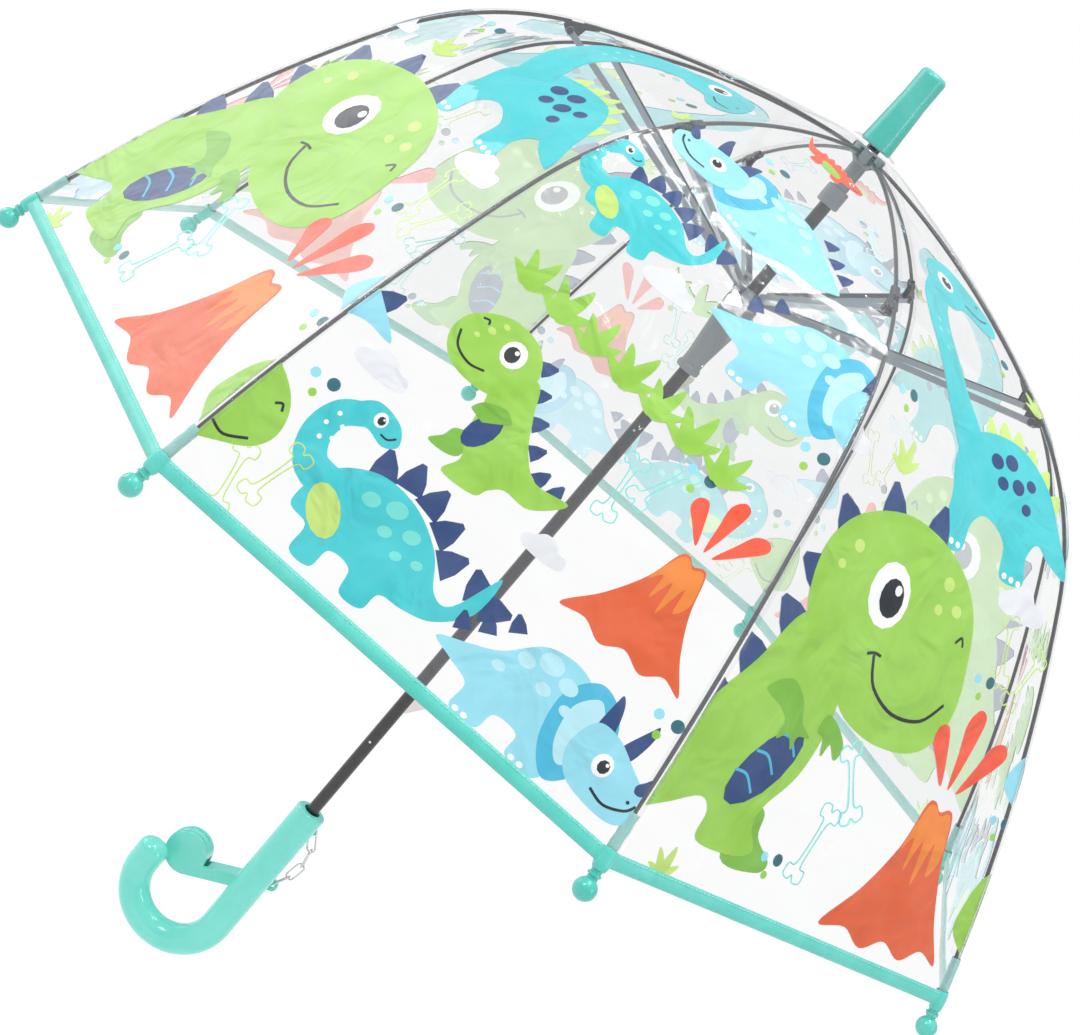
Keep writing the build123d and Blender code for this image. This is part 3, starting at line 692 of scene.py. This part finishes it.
def first_pattern():
    """The print of every other gore, in millimetres up from the middle of the hem."""
    d = Drawing()
    d.place(cloud(), 66, 202, 0.8)
    d.place(cloud(), -96, 226, 0.6)
    d.place(longneck(), 0, 0)
    d.place(tall_biped(), 0, 0)
    d.place(volcano(), 64, 17, 0.96)
    d.place(bone("pale_teal"), -12, 48, 0.95, -12)
    d.place(bone("pale_teal"), -5, 82, 0.95, 34)
    d.place(bone("pale_lime"), 88, 170, 0.85, -24)
    d.place(bone("pale_lime"), 66, 178, 0.85, 14)
    d.place(bone("pale_sky"), -30, 404, 0.6, 12)
    for x, y in [(-35, 30), (112, 96), (-62, 262), (58, 156), (34, 330)]:
        d.place(dots(), x, y)
    d.place(sprig(), -100, 6, 0.8)
    d.place(sprig(), -54, 228, 0.9)
    d.place(sprig(), 62, 312, 0.8)
    d.blob("lime", [(118, 36), (114, 52), (122, 72), (150, 78), (150, 26)])
    d.blob("sky", [(104, 118), (110, 134), (126, 142), (150, 136), (150, 108), (124, 108)])
    return d


def second_pattern():
    """The print of the gores between them."""
    d = Drawing()
    d.place(cloud(), -87, 102, 0.6)
    d.place(cloud(), 23, 88, 0.5)
    d.place(cloud(), -16, 224, 0.6)
    d.place(plated(), -35, 40)
    d.place(small_biped(), 0, 0)
    d.place(horned(), 64, 34)
    d.place(volcano(), 77, 77, 0.67)
    d.place(bone("pale_lime"), -104, 20, 0.8, 12)
    d.place(bone("pale_lime"), -90, 34, 0.8, -14)
    d.place(bone("pale_teal"), 30, 134, 0.8, 6)
    d.place(bone("pale_teal"), 44, 148, 0.8, -22)
    d.place(bone("pale_sky"), 38, 352, 0.75, 30)
    for x, y in [(-103, 78), (115, 64), (54, 160), (-22, 344), (86, 204)]:
        d.place(dots(), x, y)
    d.blob("lime", [(-152, 20), (-152, 76), (-124, 74), (-106, 62), (-102, 44), (-116, 30)])
    d.stroke("black", [(-128, 34), (-120, 32), (-110, 38)], 1.4)
    d.stroke("black", [(-112, 58), (-109, 60), (-107, 57)], 1.3)
    d.spikes("navy", [(-106, 128, 52)], 10)
    d.blob("sky", [(-152, 106), (-150, 138), (-128, 138), (-110, 128), (-92, 114), (-108, 114), (-126, 108)])
    d.place(plated(), -46, 242, 0.70, 8)
    d.place(horned(), -2, 300, 0.95, -9, True)
    d.place(horned(), 56, 236, 0.98)
    d.place(crawler(), -4, 396, 0.74, -12)
    for i in range(7):
        d.place(sprig("lime"), -66 + 21 * i, 178 - 2 * i, 1.05 + 0.12 * (i % 2), -8 + 5 * (i % 3))
    return d


# ------------------------------------------------------------------ making pieces
def new_piece(name, verts, faces, materials, indices=None):
    """A smooth-shaded mesh object; indices give each face's material."""
    mesh = bpy.data.meshes.new(name)
    mesh.from_pydata([tuple(v) for v in verts], [], faces)
    for material in materials:
        mesh.materials.append(material)
    if indices:
        mesh.polygons.foreach_set("material_index", indices)
    mesh.polygons.foreach_set("use_smooth", [True] * len(mesh.polygons))
    mesh.update()
    piece = bpy.data.objects.new(name, mesh)
    bpy.context.collection.objects.link(piece)
    return piece


def tube_faces(start, rings, sides):
    """The faces round a tube whose rings of points follow one another from a first point."""
    faces = []
    for ring in range(rings - 1):
        for i in range(sides):
            a, b = start + ring * sides + i, start + ring * sides + (i + 1) % sides
            faces.append((a, b, b + sides, a + sides))
    return faces


# Each ring's rows and columns of cells
FILM_CELLS = {"top": (44, 32), "skirt": (76, 64)}


def hang(piece, gore, ring, *nodes):
    """The piece rides on a ring of the film, with a mesh of its own; any CAD nodes given are hidden."""
    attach(piece, f"film_{ring}_{gore_number(gore)}")
    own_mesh(piece)
    if nodes:
        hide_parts(*nodes)


def film_piece(gore, ring):
    """One ring of a gore's film, as a single sheet."""
    number = gore_number(gore)
    start, end = (CLAMP_INNER_RADIUS - CLAMP_EDGE[0], V_JOINT) if ring == "top" else (V_JOINT, V_HEM)
    rows, columns = FILM_CELLS[ring]
    verts, faces = [], []
    for row in range(rows + 1):
        v = start + (end - start) * row / rows
        for column in range(columns + 1):
            x = half_width(v) * (2 * column / columns - 1)
            verts.append(on_film(gore, x, v))
    for row in range(rows):
        for column in range(columns):
            i = row * (columns + 1) + column
            faces.append((i, i + columns + 1, i + columns + 2, i + 1))
    piece = new_piece(f"film_{ring}_{number}", verts, faces, [FILM])
    node = f"film_upper_{number}" if ring == "top" else f"film_lower_{number}"
    hang(piece, gore, ring, node)
    widths = [2 * half_width(start + (end - start) * (row + 0.5) / rows) for row in range(rows)]
    flat = (2 * half_width(end), end - start)


# The prints are cut into cells, in millimetres, and stop short of the welds, the clamp and the hem tape
PRINT_CELL = 4.0
PRINT_JOINT = (V_HEM - V_JOINT) / MM
PRINT_HEM = HEM_TAPE_WIDTH / MM - 0.5
PRINT_LIFT = 0.00016
LAYER_LIFT = 0.00003
PRINT_EDGE = 0.0016
PRINT_CLAMP = 0.004
SMALLEST = 1e-6


def cut_shape(faces):
    """A flat shape as points and small cells that can bend with the film, split at the rib joint's line."""
    bm = bmesh.new()
    for face in faces:
        spots = [p for i, p in enumerate(face) if math.dist(p, face[i - 1]) > 1e-4]
        if len(spots) > 2:
            bm.faces.new([bm.verts.new((x, y, 0)) for x, y in spots])
    bmesh.ops.triangulate(bm, faces=bm.faces[:], ngon_method="EAR_CLIP")
    bmesh.ops.beautify_fill(bm, faces=bm.faces[:], edges=bm.edges[:])
    cuts = []
    for axis, way in enumerate([Vector((1, 0, 0)), Vector((0, 1, 0))]):
        along = [v.co[axis] for v in bm.verts]
        first, last = int(min(along) // PRINT_CELL) + 1, int(max(along) // PRINT_CELL)
        cuts += [(way * (i * PRINT_CELL), way) for i in range(first, last + 1)]
    cuts.append(((0, PRINT_JOINT, 0), (0, 1, 0)))
    for spot, way in cuts:
        everything = bm.verts[:] + bm.edges[:] + bm.faces[:]
        bmesh.ops.bisect_plane(bm, geom=everything, plane_co=spot, plane_no=way, dist=1e-5)
    bm.normal_update()
    for face in bm.faces:
        if face.normal.z < 0:
            face.normal_flip()
    bm.verts.index_update()
    points = [(v.co.x, v.co.y) for v in bm.verts]
    cells = [[v.index for v in face.verts] for face in bm.faces]
    bm.free()
    return points, cells


def cut_drawing(drawing):
    """Every shape cut, with its level: one above the shapes it may lie over."""
    boxes, cut = [], []
    for colour, faces in drawing.shapes:
        xs = [x for face in faces for x, _ in face]
        ys = [y for face in faces for _, y in face]
        box = (min(xs), max(xs), min(ys), max(ys))
        under = [level for low, high, bottom, top, level in boxes
                 if low < box[1] and high > box[0] and bottom < box[3] and top > box[2]]
        level = 1 + max(under, default=-1)
        boxes.append((*box, level))
        cut.append((colour, level, *cut_shape(faces)))
    return cut


def print_piece(gore, ring, shapes):
    """The ink on one ring of a gore: full colours outside, and from inside their backs, paler and glowing
    with painted backlight.
    """
    verts, faces, indices = [], [], []
    for colour, level, points, cells in shapes:
        for side in (1, -1):
            used = {}
            for cell in cells:
                middle = sum(points[i][1] for i in cell) / len(cell)
                if (middle > PRINT_JOINT) != (ring == "top") or middle < PRINT_HEM:
                    continue
                corners = []
                for i in cell:
                    if i not in used:
                        v = max(PRINT_CLAMP, V_HEM - points[i][1] * MM)
                        edge = half_width(v) - PRINT_EDGE
                        x = min(max(points[i][0] * MM, -edge), edge)
                        used[i] = len(verts)
                        verts.append((x, v, side * (PRINT_LIFT + LAYER_LIFT * level)))
                    corners.append(used[i])
                xs = [verts[c][0] for c in corners]
                vs = [verts[c][1] for c in corners]
                if max(xs) - min(xs) < SMALLEST or max(vs) - min(vs) < SMALLEST:
                    continue
                faces.append(corners if side > 0 else corners[::-1])
                indices.append(INK_NAMES.index(colour) + (0 if side > 0 else len(INK_NAMES)))
    spots = [on_film(gore, *v) for v in verts]
    piece = new_piece(f"print_{ring}_{gore_number(gore)}", spots, faces, INK_MATERIALS, indices)
    hang(piece, gore, ring)


# The tape's section: share of its width, and half thicknesses out from the film
TAPE_SECTION = [(0.0, 0.22), (0.03, 0.42), (0.5, 0.50), (0.92, 0.46), (1.02, 0.0),
                (0.92, -0.46), (0.5, -0.50), (0.03, -0.42), (0.0, -0.22)]
TAPE_THICKNESS = 0.0013
TAPE_OVERRUN = 0.0003
TAPE_COLUMNS = 64


def tape_piece(gore):
    """The hem tape, folded over the film's edge, with soft waves along it."""
    verts, faces, indices = [], [], []
    for column in range(TAPE_COLUMNS + 1):
        share = 2 * column / TAPE_COLUMNS - 1
        for down, out in TAPE_SECTION:
            v = V_HEM - HEM_TAPE_WIDTH * (1 - down)
            x = share * (half_width(min(v, V_HEM)) + TAPE_OVERRUN)
            ripple = 1 + 0.12 * math.sin(31 * share + gore) * math.sin(12.7 * share)
            verts.append(on_film(gore, x, v, out * TAPE_THICKNESS * ripple))
    count = len(TAPE_SECTION)
    for column in range(TAPE_COLUMNS):
        for i in range(count):
            a, b = column * count + i, column * count + (i + 1) % count
            faces.append((a, b, b + count, a + count))
            # Faces on the inner side get the paler inside, with its painted backlight.
            indices.append(1 if i > 3 else 0)
    faces.append(tuple(range(count))[::-1])
    faces.append(tuple(TAPE_COLUMNS * count + i for i in range(count)))
    piece = new_piece(f"hem_tape_{gore_number(gore)}", verts, faces, [TAPE, TAPE_INSIDE_BACKLIT], indices + [0, 0])
    hang(piece, gore, "skirt")


STITCH_STEP = 0.0030
STITCH_LENGTH = 0.0021
STITCH_RADIUS = 0.00018
STITCH_LIFT = 0.00064
STITCH_LINE = V_HEM - HEM_TAPE_WIDTH * 0.86
STITCH_RINGS = [(-0.5, 0.35), (-0.3, 1.0), (0.3, 1.0), (0.5, 0.35)]
STITCH_SIDES = 5


def stitch_piece(gore):
    """A row of stitches near the tape's inner edge, on both faces."""
    count = int(2 * half_width(STITCH_LINE) / STITCH_STEP) - 1
    verts, faces = [], []
    for side in (1, -1):
        for i in range(count):
            x = (i - (count - 1) / 2) * STITCH_STEP
            start = len(verts)
            for along, size in STITCH_RINGS:
                for corner in range(STITCH_SIDES):
                    a = 2 * math.pi * corner / STITCH_SIDES
                    r = STITCH_RADIUS * size
                    v = STITCH_LINE + math.cos(a) * r
                    lift = side * STITCH_LIFT + math.sin(a) * r
                    verts.append(on_film(gore, x + along * STITCH_LENGTH, v, lift))
            faces += tube_faces(start, len(STITCH_RINGS), STITCH_SIDES)
            faces.append(tuple(start + corner for corner in range(STITCH_SIDES))[::-1])
            faces.append(tuple(len(verts) - STITCH_SIDES + corner for corner in range(STITCH_SIDES)))
    piece = new_piece(f"stitches_{gore_number(gore)}", verts, faces, [THREAD])
    hang(piece, gore, "skirt")


SEAM_HALF = 0.0034
SEAM_START = 0.006
SEAM_EDGE_LIFT = 0.00035
SEAM_RIDGE_LIFT = 0.0005
SEAM_ROWS = 40


def seam_piece(rib, ring):
    """The welded overlap of two gores along a rib. Rib 1 lies between gores 8 and 1."""
    before, after = rib - 1, rib % RIBS
    start, end = (SEAM_START, V_JOINT) if ring == "top" else (V_JOINT, V_HEM - HEM_TAPE_WIDTH)
    verts, faces = [], []
    for row in range(SEAM_ROWS + 1):
        v = start + (end - start) * row / SEAM_ROWS
        w = half_width(v)
        wide = min(SEAM_HALF, w * 0.5)
        left = [on_film(before, w - wide * share, v, SEAM_EDGE_LIFT) for share in (1, 0.5)]
        middle = (on_film(before, w, v, SEAM_RIDGE_LIFT) + on_film(after, -w, v, SEAM_RIDGE_LIFT)) / 2
        right = [on_film(after, -w + wide * share, v, SEAM_EDGE_LIFT) for share in (0.5, 1)]
        verts += [*left, middle, *right]
    for row in range(SEAM_ROWS):
        for column in range(4):
            i = row * 5 + column
            faces.append((i, i + 5, i + 6, i + 1))
    piece = new_piece(f"seam_{ring}_{rib}", verts, faces, [SEAM])
    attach(piece, f"rib_{rib}" if ring == "top" else f"rib_end_{rib}")


def rib_place(rib, past_hem):
    """The frame of a rib's end: a point along its last straight, and its directions down, out and across."""
    point, way = RIB_SKIRT.at(1 + past_hem / RIB_SKIRT.length)
    a = gore_azimuth(rib - 1) + HALF_GORE
    radial = Vector((math.cos(a), math.sin(a), 0))
    down = radial * way[0] + Vector((0, 0, way[1]))
    out = radial * -way[1] + Vector((0, 0, way[0]))
    spot = radial * point[0] + Vector((0, 0, point[1]))
    return spot, down, out, Vector((-math.sin(a), math.cos(a), 0))


def sleeve(name, rib, rings, sides, material):
    """A soft flattened tube round a rib's end; each ring is (place, half width, height out, height in)."""
    verts = []
    for index, (place, wide, out_size, in_size) in enumerate(rings):
        spot, down, out, across = rib_place(rib, place)
        for i in range(sides):
            a = 2 * math.pi * i / sides
            height = out_size if math.sin(a) > 0 else in_size
            wrinkle = 1 + 0.05 * math.sin(3 * a + index * 1.7 + rib)
            aside = across * math.cos(a) * wide * wrinkle
            verts.append(spot + aside + out * (math.sin(a) * height * wrinkle))
    piece = new_piece(name, verts, tube_faces(0, len(rings), sides), [material])
    solid = piece.modifiers.new("thickness", "SOLIDIFY")
    solid.thickness = SLEEVE_THICKNESS
    smooth_out = piece.modifiers.new("smooth", "SUBSURF")
    smooth_out.levels = smooth_out.render_levels = 1
    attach(piece, f"rib_end_{rib}")


SLEEVE_SIDES = 12
SLEEVE_THICKNESS = 0.0003
POCKET_START = -0.027
POCKET_STEP = 0.0027
POCKET_RINGS = 9
CORNER_RINGS = [(-0.0085, 0.0046, 0.0038, 0.0030), (-0.0060, 0.0050, 0.0041, 0.0032),
                (-0.0020, 0.0048, 0.0041, 0.0032), (0.0015, 0.0042, 0.0040, 0.0033),
                (0.0028, 0.0034, 0.0034, 0.0031)]


def rib_trim(rib):
    """The pocket that holds the rib's end, and the tape wrapped round the hem's corner."""
    pocket = []
    for i in range(POCKET_RINGS):
        wide = 0.0030 + 0.0003 * math.sin(2.3 * i + rib)
        pocket.append((POCKET_START + POCKET_STEP * i, wide, 0.0031, 0.0020))
    sleeve(f"rib_pocket_{rib}", rib, pocket, SLEEVE_SIDES, POCKET)
    sleeve(f"hem_corner_{rib}", rib, CORNER_RINGS, SLEEVE_SIDES, TAPE)


# The ruffle's rings: radius, height and how much they wave
RUFFLE_RINGS = [(0.0068, 0.5728, 0.0), (0.0076, 0.5742, 0.25), (0.0098, 0.5737, 0.7), (0.0128, 0.5726, 1.0),
                (0.0150, 0.5718, 0.8)]
RUFFLE_STEPS = 96
RUFFLE_HEIGHT = 0.0005


def gather_piece():
    """The ruffle of film squeezed out round the shaft, just under the ferrule."""
    verts = []
    for radius, z, ruffle in RUFFLE_RINGS:
        for i in range(RUFFLE_STEPS):
            a = 2 * math.pi * i / RUFFLE_STEPS
            wave = math.sin(16 * a) + 0.5 * math.sin(7 * a + 1) + 0.4 * math.sin(29 * a + 2)
            r = radius + RUFFLE_HEIGHT * ruffle * math.sin(11 * a)
            verts.append((r * math.cos(a), r * math.sin(a), z + RUFFLE_HEIGHT * ruffle * (1 + wave * 0.8)))
    faces = [face[::-1] for face in tube_faces(0, len(RUFFLE_RINGS), RUFFLE_STEPS)]
    piece = new_piece("film_gather", verts, faces, [SEAM])
    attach(piece, "frame")


gather_piece()
CUT = [cut_drawing(second_pattern()), cut_drawing(first_pattern())]
for gore in range(RIBS):
    for ring in ("top", "skirt"):
        film_piece(gore, ring)
        print_piece(gore, ring, CUT[gore % 2])
    tape_piece(gore)
    stitch_piece(gore)
for rib in range(1, RIBS + 1):
    for ring in ("top", "skirt"):
        seam_piece(rib, ring)
    rib_trim(rib)

# ------------------------------------------------------------------ the CAD pieces' materials
FINISHES = {"handle": HANDLE, "whistle": HANDLE, "ferrule": FERRULE, "shaft": SHAFT_STEEL}
for node in ("top_notch", "stop_collar", "runner"):
    FINISHES[node] = GREY_PLASTIC
for node in ("notch_wire", "runner_wire", "top_catch", "bottom_catch", "whistle_chain"):
    FINISHES[node] = BRIGHT_WIRE
for number in range(1, RIBS + 1):
    FINISHES[f"rib_upper_{number}"] = BLACK_STEEL
    FINISHES[f"rib_lower_{number}"] = BLACK_STEEL
    FINISHES[f"stretcher_{number}"] = GREY_STEEL
    FINISHES[f"tip_{number}"] = TRIM
for node, material in FINISHES.items():
    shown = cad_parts[node]
    if not shown.material_slots:
        shown.data.materials.append(material)
    for each in shown.material_slots:
        each.link = "OBJECT"
        each.material = material

# ------------------------------------------------------------------ floor, light and camera
FLOOR_BELOW = 0.5
FLOOR_HALF = 30


def backdrop():
    """A wide pale floor well below the handle."""
    low = cad_box[0].z - FLOOR_BELOW
    corners = [(FLOOR_HALF * x, FLOOR_HALF * y, low) for x, y in ((-1, -1), (1, -1), (1, 1), (-1, 1))]
    floor = new_piece("floor", corners, [(0, 1, 2, 3)], [])
    n = Nodes("pale_floor", Roughness=0.9, Emission_Strength=0.95, Emission_Color=(1, 1, 1, 1))
    n.to(n.ramp(n.noise(3, 4), [(0.3, (0.08, 0.08, 0.08, 1)), (0.7, (0.12, 0.12, 0.12, 1))]), "Base Color")
    floor.data.materials.append(n.material)


def lamp(name, spot, aim, size, power):
    """A rectangular area light at spot that faces aim."""
    data = bpy.data.lights.new(name, "AREA")
    data.shape = "RECTANGLE"
    data.size, data.size_y = size
    data.energy = power
    light = bpy.data.objects.new(name, data)
    light.location = spot
    light.rotation_mode = "QUATERNION"
    light.rotation_quaternion = (Vector(aim) - Vector(spot)).to_track_quat("-Z", "Y")
    bpy.context.collection.objects.link(light)


def studio_world():
    """White behind everything, and a soft grey gradient for the light and the reflections."""
    world = bpy.data.worlds.new("studio")
    world.use_nodes = True
    nodes = world.node_tree.nodes
    link = world.node_tree.links.new
    place = nodes.new("ShaderNodeTexCoord")
    split = nodes.new("ShaderNodeSeparateXYZ")
    shade = nodes.new("ShaderNodeValToRGB")
    seen = nodes.new("ShaderNodeLightPath")
    pick = nodes.new("ShaderNodeMix")
    pick.data_type = "RGBA"
    first, second = [socket for socket in pick.inputs if socket.type == "RGBA"]
    picked = [socket for socket in pick.outputs if socket.type == "RGBA"][0]
    shade.color_ramp.elements[0].color = (0.40, 0.41, 0.43, 1)
    shade.color_ramp.elements[1].color = (0.76, 0.77, 0.78, 1)
    link(place.outputs["Generated"], split.inputs[0])
    link(split.outputs["Z"], shade.inputs["Fac"])
    link(seen.outputs["Is Camera Ray"], pick.inputs["Factor"])
    link(shade.outputs["Color"], first)
    second.default_value = (1, 1, 1, 1)
    link(picked, nodes["Background"].inputs["Color"])
    bpy.context.scene.world = world


LENS_MM = 69.59
CAMERA_SPOT = (0.0798, -1.2045, 0.5586)
CAMERA_RIGHT, CAMERA_UP, CAMERA_BACK = (
    (0.75124, 0.19871, 0.62938),
    (-0.65605, 0.12065, 0.74499),
    (0.07211, -0.97260, 0.22101),
)


def main_camera():
    """A camera in front of the umbrella and a little above it, rolled so that the shaft leans."""
    data = bpy.data.cameras.new("camera")
    data.sensor_width = 36
    data.lens = LENS_MM
    camera = bpy.data.objects.new("camera", data)
    axes = Matrix((CAMERA_RIGHT, CAMERA_UP, CAMERA_BACK)).transposed()
    camera.matrix_world = Matrix.Translation(CAMERA_SPOT) @ axes.to_4x4()
    bpy.context.collection.objects.link(camera)
    bpy.context.scene.camera = camera


backdrop()
CANOPY_MIDDLE = (0, 0, 0.42)
lamp("key", (-1.3, -1.7, 2.2), CANOPY_MIDDLE, (0.7, 0.7), 20)
lamp("side", (2.2, -0.9, 1.2), CANOPY_MIDDLE, (0.3, 1.4), 9)
lamp("left_box", (-2.2, 0.46, 0.9), CANOPY_MIDDLE, (1.4, 1.2), 12)
lamp("shoulder_glint", (-0.07, -0.02, 2.07), CANOPY_MIDDLE, (0.10, 0.26), 7)
lamp("front_glint", (0.04, -0.72, 1.98), CANOPY_MIDDLE, (0.06, 0.30), 5)
lamp("rear_glint", (0.30, -0.30, 2.0), CANOPY_MIDDLE, (0.06, 0.24), 4)
studio_world()
bpy.context.scene.view_settings.view_transform = "Standard"
bpy.context.scene.cycles.transparent_max_bounces = 32
main_camera()
